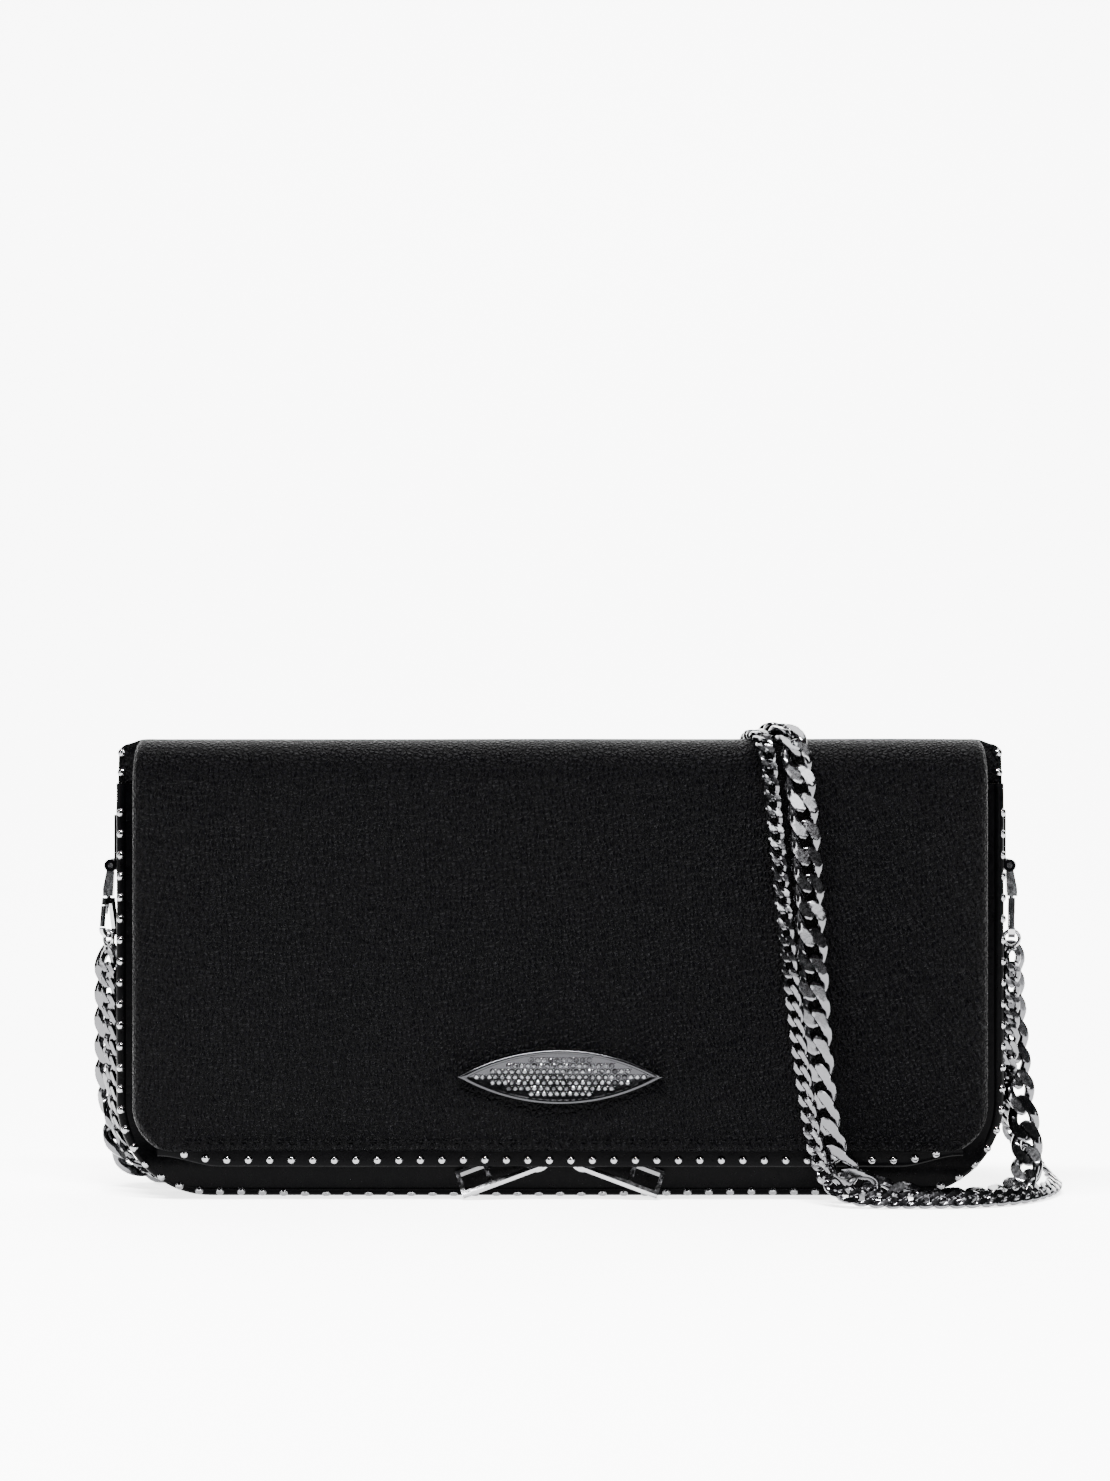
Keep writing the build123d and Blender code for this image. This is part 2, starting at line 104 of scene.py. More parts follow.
def wobble(point, size, seed=0):
    """Smooth noise from -1 to 1, whose waves are about size long."""
    return noise.noise(Vector(point) / size + Vector((seed * 7.3, seed * 3.1, 0)))


def piece(name, points, faces, material, slot, body=None, sharp=None):
    """Mesh object from points in millimetres."""
    data = bpy.data.meshes.new(name)
    data.from_pydata([Vector(point) * MM for point in points], [], faces)
    data.update()
    data.shade_smooth()
    if sharp:
        data.set_sharp_from_angle(angle=radians(sharp))
    made = bpy.data.objects.new(name, data)
    bpy.context.scene.collection.objects.link(made)
    data.materials.append(material)
    if body:
        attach(made, body)
    return made


def grid_faces(rows, columns, closed=False):
    """Quads of a grid of rows by columns, wrapping round along the columns if it is closed."""
    faces = []
    last = columns if closed else columns - 1
    for row in range(rows - 1):
        this, following = row * columns, (row + 1) * columns
        for column in range(last):
            right = (column + 1) % columns
            faces.append((this + column, this + right, following + right, following + column))
    return faces


def joined(parts):
    """Several (points, faces) lists as one."""
    points, faces = [], []
    for part_points, part_faces in parts:
        start = len(points)
        points += part_points
        faces += [tuple(start + corner for corner in face) for face in part_faces]
    return points, faces


def spread(low, high, count):
    """Evenly spaced values from low to high."""
    return [low + (high - low) * index / (count - 1) for index in range(count)]


# ------------------------------------------------------------------ materials


class Nodes:
    """A material's node tree with a short way to add and link nodes. Its lengths are in metres."""

    def __init__(self, name):
        self.material = bpy.data.materials.new(name)
        self.material.use_nodes = True
        self.tree = self.material.node_tree
        self.shader = self.tree.nodes["Principled BSDF"]
        self.place = self.add("ShaderNodeTexCoord").outputs["Object"]

    def add(self, kind, **values):
        node = self.tree.nodes.new(kind)
        for key, value in values.items():
            if hasattr(node, key):
                setattr(node, key, value)
            else:
                node.inputs[key].default_value = value
        return node

    def link(self, source, node, socket):
        self.tree.links.new(source, node.inputs[socket])

    def noise(self, scale, detail=3.0, roughness=0.5):
        node = self.add("ShaderNodeTexNoise", Scale=scale, Detail=detail, Roughness=roughness)
        self.link(self.place, node, "Vector")
        return node.outputs["Fac"]

    def remap(self, source, low, high, to_low, to_high):
        node = self.add("ShaderNodeMapRange")
        for socket, value in zip(("From Min", "From Max", "To Min", "To Max"), (low, high, to_low, to_high)):
            node.inputs[socket].default_value = value
        self.link(source, node, "Value")
        return node.outputs["Result"]

    def math(self, operation, first, second):
        node = self.add("ShaderNodeMath", operation=operation)
        for index, value in enumerate((first, second)):
            if isinstance(value, (int, float)):
                node.inputs[index].default_value = value
            else:
                self.tree.links.new(value, node.inputs[index])
        return node.outputs[0]

    def bump(self, height, distance, strength=1.0):
        node = self.add("ShaderNodeBump", Strength=strength, Distance=distance)
        self.link(height, node, "Height")
        return node.outputs["Normal"]

    def mix_colour(self, share, first, second):
        node = self.add("ShaderNodeMix", data_type="RGBA")
        self.tree.links.new(share, node.inputs["Factor"])
        colour_a, colour_b, colour_out = 6, 7, 2
        node.inputs[colour_a].default_value = (*first, 1)
        node.inputs[colour_b].default_value = (*second, 1)
        return node.outputs[colour_out]

    def set(self, **values):
        for key, value in values.items():
            self.shader.inputs[key.replace("_", " ")].default_value = value


# Near-black painted into the leathers' creases as painted shade
PAINTED_CREASE_SHADE = (0.00008, 0.00008, 0.0001)


def grained_leather():
    """Pebbled black leather: small uneven pads between fine creases, glossier on their tops, with painted
    shade darkening the creases.
    """
    warp_reach, grain_depth = 0.0011, 0.0016
    pads_per_metre, fine_per_metre, pores_per_metre, patches_per_metre = 700.0, 1500.0, 5200.0, 24.0
    n = Nodes("grained_leather")
    n.set(Specular_IOR_Level=0.025)
    stretch = n.add("ShaderNodeMapping")
    stretch.inputs["Scale"].default_value = (1.0, 1.0, 0.82)
    n.link(n.place, stretch, "Vector")
    warp = n.add("ShaderNodeTexNoise", Scale=260.0, Detail=2.0)
    n.link(stretch.outputs["Vector"], warp, "Vector")
    shift = n.add("ShaderNodeVectorMath", operation="MULTIPLY_ADD")
    n.tree.links.new(warp.outputs["Color"], shift.inputs[0])
    shift.inputs[1].default_value = (warp_reach, warp_reach, warp_reach)
    n.tree.links.new(stretch.outputs["Vector"], shift.inputs[2])

    def cells(per_metre, full_height):
        node = n.add("ShaderNodeTexVoronoi", feature="DISTANCE_TO_EDGE", Scale=per_metre)
        n.link(shift.outputs[0], node, "Vector")
        return n.remap(node.outputs["Distance"], 0.0, full_height, 0.0, 1.0)

    pads = cells(pads_per_metre, 0.32)
    fine = cells(fine_per_metre, 0.3)
    height = n.math("ADD", n.math("MULTIPLY", pads, 0.72), n.math("MULTIPLY", fine, 0.2))
    height = n.math("ADD", height, n.math("MULTIPLY", n.noise(pores_per_metre, 2.0), 0.12))
    n.link(n.bump(height, grain_depth), n.shader, "Normal")
    # Painted shade: the creases between the pads are coloured darker than the pad tops
    painted_crease_shade_mask = n.remap(pads, 0.0, 0.6, 0.0, 1.0)
    n.link(n.mix_colour(painted_crease_shade_mask, PAINTED_CREASE_SHADE, (0.0004, 0.00036, 0.0007)), n.shader, "Base Color")
    patches = n.remap(n.noise(patches_per_metre), 0.3, 0.7, -0.03, 0.05)
    n.link(n.math("ADD", n.remap(pads, 0.0, 1.0, 0.5, 0.34), patches), n.shader, "Roughness")
    return n.material


def smooth_leather():
    """Smooth black leather with fine creases and a soft polish, with painted shade darkening the creases."""
    n = Nodes("smooth_leather")
    n.set(Specular_IOR_Level=0.02)
    creases = n.noise(420.0, 5.0, 0.62)
    pores = n.noise(3600.0, 2.0)
    height = n.math("ADD", n.math("MULTIPLY", creases, 0.8), n.math("MULTIPLY", pores, 0.2))
    n.link(n.bump(height, 0.00022, 0.6), n.shader, "Normal")
    # Painted shade: the low parts of the crease noise are coloured darker
    n.link(n.mix_colour(creases, PAINTED_CREASE_SHADE, (0.0003, 0.00028, 0.0005)), n.shader, "Base Color")
    n.link(n.remap(creases, 0.3, 0.7, 0.24, 0.4), n.shader, "Roughness")
    return n.material


def polished_metal(name, colour, low, high):
    """Polished plate with faint wear: its roughness runs from low to high, and its tone varies softly."""
    n = Nodes(name)
    n.set(Metallic=1.0)
    wear = n.noise(900.0, 4.0, 0.6)
    cloud = n.noise(120.0, 2.0)
    dark = tuple(0.8 * value for value in colour)
    n.link(n.mix_colour(cloud, dark, colour), n.shader, "Base Color")
    n.link(n.remap(wear, 0.3, 0.7, low, high), n.shader, "Roughness")
    n.link(n.bump(wear, 0.00002, 0.35), n.shader, "Normal")
    return n.material


def woven(name, dark, light, pitch):
    """Plain weave: crossing sine waves at the thread pitch, in metres."""
    n = Nodes(name)
    split = n.add("ShaderNodeSeparateXYZ")
    n.link(n.place, split, "Vector")
    waves = []
    for axis in ("X", "Z"):
        angle = n.math("MULTIPLY", split.outputs[axis], 2 * pi / pitch)
        waves.append(n.math("SINE", angle, 0.0))
    weave = n.remap(n.math("MULTIPLY", waves[0], waves[1]), -1.0, 1.0, 0.0, 1.0)
    n.link(n.bump(weave, 0.00008, 0.7), n.shader, "Normal")
    n.link(n.mix_colour(weave, dark, light), n.shader, "Base Color")
    n.link(n.remap(n.noise(300.0), 0.3, 0.7, 0.75, 0.95), n.shader, "Roughness")
    return n.material


def fibre_board():
    """Pressed grey-brown board."""
    n = Nodes("fibre_board")
    fibres = n.noise(900.0, 6.0, 0.7)
    n.link(n.mix_colour(fibres, (0.12, 0.1, 0.08), (0.3, 0.27, 0.22)), n.shader, "Base Color")
    n.link(n.bump(fibres, 0.0001, 0.5), n.shader, "Normal")
    n.link(n.remap(fibres, 0.3, 0.7, 0.7, 0.95), n.shader, "Roughness")
    return n.material


def crystal():
    """Grey cut stone with a foil back: bright facets whose tone differs from stone to stone."""
    n = Nodes("crystal")
    n.set(Metallic=0.75, Roughness=0.06)
    tone = n.noise(700.0, 1.0)
    n.link(n.mix_colour(n.remap(tone, 0.35, 0.65, 0.0, 1.0), (0.004, 0.004, 0.005), (0.12, 0.121, 0.127)),
           n.shader, "Base Color")
    return n.material


LEATHER = grained_leather()
PLAIN_LEATHER = smooth_leather()
CHAIN_METAL = polished_metal("chain_metal", (0.085, 0.085, 0.089), 0.1, 0.2)
HARDWARE = polished_metal("hardware_metal", (0.25, 0.25, 0.257), 0.12, 0.24)
STUD_METAL = polished_metal("stud_metal", (0.2, 0.2, 0.206), 0.08, 0.16)
MAGNET_METAL = polished_metal("magnet_metal", (0.4, 0.4, 0.41), 0.3, 0.45)
PLAQUE_METAL = polished_metal("plaque_metal", (0.03, 0.03, 0.032), 0.14, 0.24)
LINING = woven("lining_cloth", (0.006, 0.006, 0.007), (0.03, 0.03, 0.032), 0.0006)
TAPE = woven("zip_cloth", (0.004, 0.004, 0.004), (0.02, 0.02, 0.021), 0.0008)
BOARD = fibre_board()
CRYSTAL = crystal()

# ------------------------------------------------------------------ chain straps

# facet is half a link's thickness between its two ground faces
THICK = dict(width=10.2, pitch=8.4, wire=3.3, facet=1.65, around=40, section=14)
THIN = dict(width=5.6, pitch=5.0, wire=1.8, facet=1.0, around=24, section=9)
LINK_TWIST = radians(-52)
LINK_PLAY = 0.16

# Points where one stretch of a chain meets the next
CHAIN_START = 76.8
thick_start_left = (-143.3, 3.0, CHAIN_START)
thick_back_foot = (62, 13.4, 44)
thick_front_foot = (104, -27.6, 2.7)
thick_start_right = (143.3, 3.0, CHAIN_START)
thin_start_left = (-143.3, -2.6, CHAIN_START)
thin_back_foot = (54.6, 11.6, 44)
thin_front_foot = (100, -35, 2.7)
thin_start_right = (143.3, -2.6, CHAIN_START)

# Each stretch: its length in metres, its route, and the way that the flat of the links faces at shares of it
STRETCHES = {
    "thick_chain_left": dict(
        length=0.305,
        route=[thick_start_left, (-143.6, 4.0, 65), (-144.3, 6.0, 49), (-144.8, 8.4, 32), (-144.0, 12, 17),
               (-137.5, 18, 6), (-123, 21.5, 2.6), (-98, 19.5, 2.6), (-60, 22.5, 2.6), (-20, 19.5, 2.6),
               (14, 22, 2.6), (36, 21.2, 2.6), (50, 19.2, 5.2), (58.5, 16.5, 14), (61.4, 14.2, 28),
               thick_back_foot],
        faces=[(0, (-0.3, -1, 0)), (0.12, (-0.6, -0.8, 0)), (0.22, (-1, 0.2, 0.4)), (0.34, (0, 0.2, 1)),
               (0.8, (0, 0.2, 1)), (0.92, (-0.3, 1, 0.3)), (1, (0, 1, 0))]),
    "thick_chain_drape": dict(
        length=0.286,
        route=[thick_back_foot, (62.2, 13.0, 60), (62.8, 12.6, 88), (64, 12.3, 118), (66.5, 11.6, 146.9),
               (72.5, -24.4, 146.9), (75.4, -24.6, 120), (77.3, -24.4, 92), (78.8, -24.8, 64),
               (80.2, -25.2, 42), (81.8, -26.2, 26), (84.6, -26.8, 14.5), (91.6, -27.2, 5.2),
               thick_front_foot],
        faces=[(0, (0, 1, 0)), (0.3, (0, 1, 0.1)), (0.42, (0, 0.2, 1)), (0.52, (0.2, -1, 0.3)),
               (0.64, (0.27, -1, 0.15)), (0.74, (-0.4, -1, 0.12)), (0.86, (-0.55, -0.9, 0.14)),
               (0.95, (-0.4, -0.7, -0.2)), (1, (-0.2, -0.75, 0.6))]),
    "thick_chain_right": dict(
        length=0.124,
        route=[thick_front_foot, (113, -27.6, 2.6), (126, -26.6, 2.6), (138, -21, 2.6), (146.2, -11, 4.6),
               (148.4, -2.5, 14), (146.2, 2, 30), (144.9, 3.2, 46), (143.8, 3.1, 61), thick_start_right],
        faces=[(0, (-0.2, -0.75, 0.6)), (0.12, (0, -0.2, 1)), (0.4, (0, 0, 1)), (0.55, (-0.4, -0.6, 0.8)),
               (0.68, (0.45, -1, 0.2)), (0.85, (0.62, -0.8, 0)), (1, (0.55, -0.85, 0))]),
    "thin_chain_left": dict(
        length=0.298,
        route=[thin_start_left, (-142.9, -2.8, 65), (-142.2, -1.6, 50), (-142.2, 1.2, 34),
               (-141.4, 5.4, 18), (-136.5, 10.4, 7), (-124, 12.4, 1.8), (-98, 11.2, 1.7), (-58, 12.8, 1.7),
               (-16, 11.2, 1.7), (18, 12.6, 1.7), (38, 11.8, 1.7), (49, 11.9, 4.8), (53.4, 11.7, 14),
               (54.4, 11.8, 28), thin_back_foot],
        faces=[(0, (-0.4, -1, 0)), (0.16, (-0.8, -0.7, 0)), (0.3, (0, 0.2, 1)), (0.8, (0, 0.2, 1)),
               (0.92, (-0.3, 1, 0.3)), (1, (0, 1, 0))]),
    "thin_chain_drape": dict(
        length=0.287,
        route=[thin_back_foot, (55, 11.5, 60), (55.6, 11.3, 88), (56.6, 11.2, 118), (59.4, 10.6, 145.9),
               (63.8, -23.5, 145.9), (66.4, -23.6, 120), (69.2, -23.3, 92), (72.2, -23.8, 64),
               (74.8, -24.2, 42), (77.2, -25.2, 26), (79.4, -28.2, 13), (83.6, -32.2, 5.6), (91, -34.4, 3),
               thin_front_foot],
        faces=[(0, (0, 1, 0)), (0.3, (0, 1, 0.1)), (0.42, (-0.2, 0.2, 1)), (0.52, (0.2, -1, 0.3)),
               (0.62, (0.25, -1, 0.15)), (0.76, (-0.6, -0.8, 0.14)), (0.9, (-0.5, -0.8, 0.12)),
               (1, (0, -0.9, 0.45))]),
    "thin_chain_right": dict(
        length=0.173,
        route=[thin_front_foot, (110, -35.2, 2.7), (126, -34.4, 2.7), (141.5, -27.5, 2.7),
               (152.5, -13.5, 2.7), (157.5, 0, 2.7), (157.5, 11, 4), (152.5, 19, 9.5), (145.6, 17.8, 17),
               (142.2, 10, 24), (142.0, 1.4, 32.5), (142.4, -3.2, 45), (143, -2.9, 61), thin_start_right],
        faces=[(0, (0, -0.9, 0.45)), (0.3, (0.3, -0.7, 0.6)), (0.5, (0.6, 0.2, 0.8)),
               (0.62, (-0.5, -0.8, 0.6)), (0.75, (-0.3, -1, 0.2)), (1, (0.3, -1, 0))]),
}


def route_points(name, route):
    """Points along the smooth line of a route, in millimetres."""
    data = bpy.data.curves.new(name + "_route", "CURVE")
    data.dimensions = "3D"
    data.resolution_u = 24
    spline = data.splines.new("NURBS")
    spline.points.add(len(route) - 1)
    for point, place in zip(spline.points, route):
        point.co = (*[MM * value for value in place], 1)
    spline.order_u = 3
    spline.use_endpoint_u = True
    line = bpy.data.objects.new(name + "_route", data)
    bpy.context.scene.collection.objects.link(line)
    bpy.context.view_layer.update()
    sampled = bpy.data.meshes.new_from_object(line.evaluated_get(bpy.context.evaluated_depsgraph_get()))
    points = [vertex.co * 1000 for vertex in sampled.vertices]
    bpy.data.objects.remove(line)
    return points


def facing(faces, share):
    """Direction that the flat of the links faces at a share of the length."""
    for (low, first), (high, second) in zip(faces, faces[1:]):
        if share <= high:
            blend = smooth(low, high, share)
            return Vector(first).normalized() * (1 - blend) + Vector(second).normalized() * blend
    return Vector(faces[-1][1])


def link_ring(width, pitch, wire, facet, around, section):
    """Points and faces of one curb link: a twisted oval of round wire, ground flat on both faces."""
    half_length, half_width = (pitch + wire) / 2, (width - wire) / 2
    end_fullness, side_fullness = 0.86, 0.9
    near = 0.02

    def centre(angle):
        x = half_length * math.copysign(abs(cos(angle)) ** end_fullness, cos(angle))
        y = half_width * math.copysign(abs(sin(angle)) ** side_fullness, sin(angle))
        twist = LINK_TWIST * x / half_length
        return Vector((x, y * cos(twist), y * sin(twist)))

    points = []
    for step in range(around):
        angle = 2 * pi * (step + 0.5) / around
        here = centre(angle)
        tangent = (centre(angle + near) - centre(angle - near)).normalized()
        side = tangent.cross(Vector((0, 0, 1))).normalized()
        up = side.cross(tangent).normalized()
        for turn in range(section):
            bend = 2 * pi * (turn + 0.5) / section
            point = here + wire / 2 * (side * cos(bend) + up * sin(bend))
            point.z = min(max(point.z, -facet), facet)
            points.append(point)
    faces = []
    for step in range(around):
        for turn in range(section):
            following, beside = (step + 1) % around, (turn + 1) % section
            faces.append((step * section + turn, step * section + beside,
                          following * section + beside, following * section + turn))
    return points, faces


def chain(name, sizes, spec):
    """Interlocked links along a route, each turned the way its stretch faces, give or take its play."""
    pitch = sizes["pitch"]
    path = route_points(name, spec["route"])
    reach = [0.0]
    for before, after in zip(path, path[1:]):
        reach.append(reach[-1] + (after - before).length)
    total = reach[-1]
    count = round(total / pitch)

    def at(distance):
        distance = min(max(distance, 0), total)
        for index in range(1, len(path)):
            if reach[index] >= distance:
                share = (distance - reach[index - 1]) / max(reach[index] - reach[index - 1], 1e-9)
                return path[index - 1].lerp(path[index], share)
        return path[-1]

    ring, ring_faces = link_ring(**sizes)
    parts = []
    for index in range(count):
        middle = (index + 0.5) * total / count
        ahead = (at(middle + pitch / 2) - at(middle - pitch / 2)).normalized()
        up = facing(spec["faces"], middle / total)
        up = (up - ahead * up.dot(ahead)).normalized()
        up = (up + up.cross(ahead) * LINK_PLAY * wobble((17 * index, sizes["width"], 0), 40, 13)).normalized()
        across = up.cross(ahead)
        origin = (at(middle) * 2 + at(middle + pitch / 2) + at(middle - pitch / 2)) / 4
        placed = [origin + ahead * point.x + across * point.y + up * point.z for point in ring]
        parts.append((placed, ring_faces))
    made = piece(name + "_links", *joined(parts), CHAIN_METAL, "chain_metal", sharp=32)
    return made, [tuple(MM * value for value in point) for point in path]


for name, spec in STRETCHES.items():
    sizes = THICK if name.startswith("thick") else THIN
    links, path = chain(name, sizes, spec)
    if name.endswith("drape"):
        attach(links, "bag")
        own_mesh(links)
    else:
        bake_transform(links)
    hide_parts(name)

# ------------------------------------------------------------------ leather shells


def corner_cut(height, radius):
    """How far a rounded lower corner pulls the side in, at a height above the lowest edge."""
    if height >= radius:
        return 0.0
    return radius - sqrt(max(radius ** 2 - (radius - height) ** 2, 0))


STUD_PITCH = 6.7
STUD_RADIUS = 1.2
STUD_HEIGHT = 0.95


def dome(centre, normal, radius=STUD_RADIUS, height=STUD_HEIGHT):
    """Points and faces of one stud: a low dome on a slightly wider rim."""
    normal = Vector(normal).normalized()
    side = normal.orthogonal().normalized()
    up = normal.cross(side)
    around = 16
    rim, rim_top = 1.12, 0.2
    rings = [(rim, 0.0), (rim, 0.12), (1.0, rim_top)]
    rings += [(cos(angle), rim_top + (1 - rim_top) * sin(angle)) for angle in (0.35, 0.7, 1.0, 1.3)]
    points, faces = [], []
    for share, rise in rings:
        for step in range(around):
            angle = 2 * pi * step / around
            points.append(Vector(centre) + radius * share * (side * cos(angle) + up * sin(angle))
                          + normal * height * rise)
    points.append(Vector(centre) + normal * height)
    faces = grid_faces(len(rings), around, closed=True)
    top = (len(rings) - 1) * around
    faces += [(top + step, top + (step + 1) % around, len(points) - 1) for step in range(around)]
    return points, faces


# A soft panel's sides turn back over WRAP_RADIUS
WRAP_RADIUS = 3.4
WRAP_STEPS = 6
COLUMNS = 96
WRAPPED_COLUMNS = COLUMNS - 2 + 2 * (WRAP_STEPS + 2)


def across_profile(half, front, depth_to):
    """(x, y) points of a soft panel's section: round the left side, over the front, round the right side."""
    wrap = [(half - WRAP_RADIUS + WRAP_RADIUS * sin(angle), front + WRAP_RADIUS * (1 - cos(angle)))
            for angle in spread(0, pi / 2, WRAP_STEPS)]
    wrap += [(half, front + WRAP_RADIUS + (depth_to - front - WRAP_RADIUS) * share) for share in (0.5, 1)]
    face = [(x, front) for x in spread(-(half - WRAP_RADIUS), half - WRAP_RADIUS, COLUMNS)][1:-1]
    return [(-x, y) for x, y in reversed(wrap)] + face + wrap


FLAP_CORNER = 15.0
FLAP_SIDE_TO = -9.6
PINCH_SIDE, PINCH_HEIGHT, PINCH_REACH = 34, 41, 9


def flap_leather():
    """Grained front of the flap, turned over at its sides and folded under at its hem."""
    front, hem, top = flap_low[1], flap_low[2], flap_high[2]
    half = flap_high[0]
    rows = [(height, 0.0) for height in spread(top, hem + 1.0, 62)]
    rows += [(hem + 0.35, 0.25), (hem, 0.75), (hem + 0.15, 1.25), (hem + 1.5, 1.6), (hem + 6, 1.6)]
    points = []
    for height, inset in rows:
        row_half = half - corner_cut(height - hem + 1.2, FLAP_CORNER) - inset
        for x, y in across_profile(row_half, front + inset, FLAP_SIDE_TO):
            inside = smooth(half, half - 14, abs(x)) * smooth(top, top - 12, height)
            softness = 0.55 * wobble((x, 0, height), 46) + 0.22 * wobble((x, 0, height), 17, 2)
            pinch = math.exp(-((abs(x) - PINCH_SIDE) / PINCH_REACH) ** 2
                             - ((height - PINCH_HEIGHT) / PINCH_REACH) ** 2)
            crown = 0.7 * smooth(hem, hem + 30, height)
            near_hem = 0.35 * wobble((x, 0, 0), 30, 5) * smooth(hem + 14, hem, height)
            offset = inside * (softness * 0.8 - crown + 0.9 * pinch) + near_hem
            points.append((x, y + offset if y < front + WRAP_RADIUS else y, height + near_hem * 0.6))
    faces = grid_faces(len(rows), WRAPPED_COLUMNS)
    made = piece("flap_leather", points, faces, LEATHER, "grained_leather", "flap")
    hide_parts("flap_front_panel", "flap_side_left", "flap_side_right")
    return made


def bend_over(made):
    """Bake a piece's placement into its own mesh."""
    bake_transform(made)


# The fold is wider over the back half, whose two shoulders lie a little lower
SHOULDER_WIDTH = 5.9
SHOULDER_DROP = 1.3
fold_y = (spine_low[1] + spine_high[1]) / 2
fold_base = spine_low[2]


def fold_leather():
    """The fold over the top, wider at the back, closed at both ends."""
    radius = (spine_high[1] - spine_low[1]) / 2
    flap_half = flap_high[0]
    rows = spread(0, pi, 73)
    points = []
    for angle in rows:
        half = flap_half + SHOULDER_WIDTH * smooth(radians(87), radians(80), angle)
        for x, depth in across_profile(half, 0, radius - 0.3):
            lift = 0.35 * wobble((x, 0, 0), 60, 3) * sin(angle)
            reach = radius - depth + lift * smooth(half, half - 12, abs(x))
            shoulder = smooth(flap_half - 1, flap_half + 2, abs(x)) * smooth(radius - 1, 3, depth)
            reach -= SHOULDER_DROP * shoulder
            points.append((x, fold_y + reach * cos(angle), fold_base + reach * sin(angle)))
    faces = grid_faces(len(rows), WRAPPED_COLUMNS)
    made = piece("fold_leather", points, faces, LEATHER, "grained_leather")
    made.data.flip_normals()
    bend_over(made)
    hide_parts("fold_spine")


def fold_studs():
    """Two studs on the front of each shoulder."""
    stud_x, lean = flap_high[0] + 5.0, 0.14
    studs = [dome((side * stud_x, fold_y + lean * rise, fold_base + rise), (side * 0.6, -1, 0))
             for side in (-1, 1) for rise in (3.4, 9.6)]
    made = piece("fold_studs", *joined(studs), STUD_METAL, "stud_metal")
    bend_over(made)


def inner_hinge():
    """Thin leather strip under the fold that joins the two halves."""
    thickness, steps = 0.8, 13
    low, high = box_mm("fold_inner")
    middle_y, radius, base = (low[1] + high[1]) / 2, (high[1] - low[1]) / 2, low[2]
    columns = spread(low[0], high[0], 24)
    points = []
    for reach in (radius, radius - thickness):
        for angle in spread(0, pi, steps):
            for x in columns:
                points.append((x, middle_y + reach * cos(angle), base + reach * sin(angle)))
    outer = grid_faces(steps, len(columns))
    under = steps * len(columns)
    inner = [tuple(under + corner for corner in reversed(face)) for face in outer]
    made = piece("inner_hinge", points, outer + inner, PLAIN_LEATHER, "smooth_leather")
    made.data.flip_normals()
    bend_over(made)
    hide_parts("fold_inner")


BACK_CORNER = 28.0
ROLL_HEIGHT, ROLL_REACH = 9.5, 5.5


def back_sheet(name, node, low, high, outward, bulge, material, slot):
    """A soft sheet of the back half. outward is -1 for the front and 1 for the back."""
    face_y = high[1] if outward > 0 else low[1]
    rows = spread(high[2], low[2], 60)
    points = []
    for height in rows:
        half = high[0] - corner_cut(height - low[2], BACK_CORNER)
        for x in spread(-half, half, COLUMNS):
            inside = smooth(half, half - 10, abs(x)) * smooth(low[2], low[2] + 8, height)
            inside *= smooth(high[2] + 1, high[2] - 8, height)
            softness = 0.4 * wobble((x, outward, height), 50, 4) + 0.15 * wobble((x, outward, height), 15, 6)
            roll = bulge * math.exp(-((height - ROLL_HEIGHT) / ROLL_REACH) ** 2)
            points.append((x, face_y + outward * (inside * softness + roll), height))
    made = piece(name, points, grid_faces(len(rows), COLUMNS), material, slot, "bag")
    if outward > 0:
        made.data.flip_normals()
    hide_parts(node)


# The binding's rolled bead, how far it stands forward, and the radius of the lower corners
BEAD = 2.0
BEAD_FORWARD = 0.4
EDGE_CORNER = 30.0
EDGE_LENGTH = 2 * (edge_high[2] - EDGE_CORNER + EDGE_CORNER * pi / 2) + 2 * (edge_high[0] - EDGE_CORNER)


def edge_frame(distance):
    """Point, outward direction and share of the way round, at a distance along the edge from the top left."""
    half, radius, top = edge_high[0], EDGE_CORNER, edge_high[2]
    share = distance / EDGE_LENGTH
    side, corner, base = top - radius, radius * pi / 2, 2 * (half - radius)
    if distance <= side:
        return (-half, top - distance), (-1, 0), share
    distance -= side
    if distance <= corner:
        out_x, out_z = -cos(distance / radius), -sin(distance / radius)
        return (-half + radius + radius * out_x, radius + radius * out_z), (out_x, out_z), share
    distance -= corner
    if distance <= base:
        return (-half + radius + distance, 0), (0, -1), share
    distance -= base
    if distance <= corner:
        out_x, out_z = sin(distance / radius), -cos(distance / radius)
        return (half - radius + radius * out_x, radius + radius * out_z), (out_x, out_z), share
    return (half, radius + distance - corner), (1, 0), share


def rolled_binding():
    """Leather binding round the sides and base: a rolled bead at each edge and a flat between."""
    flat_depth, flat_gap = 0.45, 1.2
    front_bead_y = edge_low[1] + BEAD - BEAD_FORWARD
    back_bead_y = edge_high[1] - BEAD + BEAD_FORWARD
    flat = spread(edge_low[1] + BEAD + flat_gap, edge_high[1] - BEAD - flat_gap, 6)
    profile = [(-BEAD + BEAD * sin(angle), front_bead_y - BEAD * cos(angle))
               for angle in spread(radians(-85), pi / 2, 13)]
    profile += [(-flat_depth, y) for y in flat]
    profile += [(-BEAD + BEAD * sin(angle), back_bead_y - BEAD * cos(angle))
                for angle in spread(pi / 2, radians(265), 13)]
    rows = spread(0, EDGE_LENGTH, 320)
    points = []
    for distance in rows:
        (x, z), (out_x, out_z), _ = edge_frame(distance)
        for out, y in profile:
            ripple = 0.12 * wobble((x, y, z), 7, 8) * (out_z > -0.9)
            reach = min(out + ripple, 0)
            points.append((x + out_x * reach, y, z + out_z * reach))
    faces = grid_faces(len(rows), len(profile))
    made = piece("rolled_binding", points, faces, PLAIN_LEATHER, "smooth_leather", "bag")
    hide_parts("base_strip", "binding_left", "binding_right")


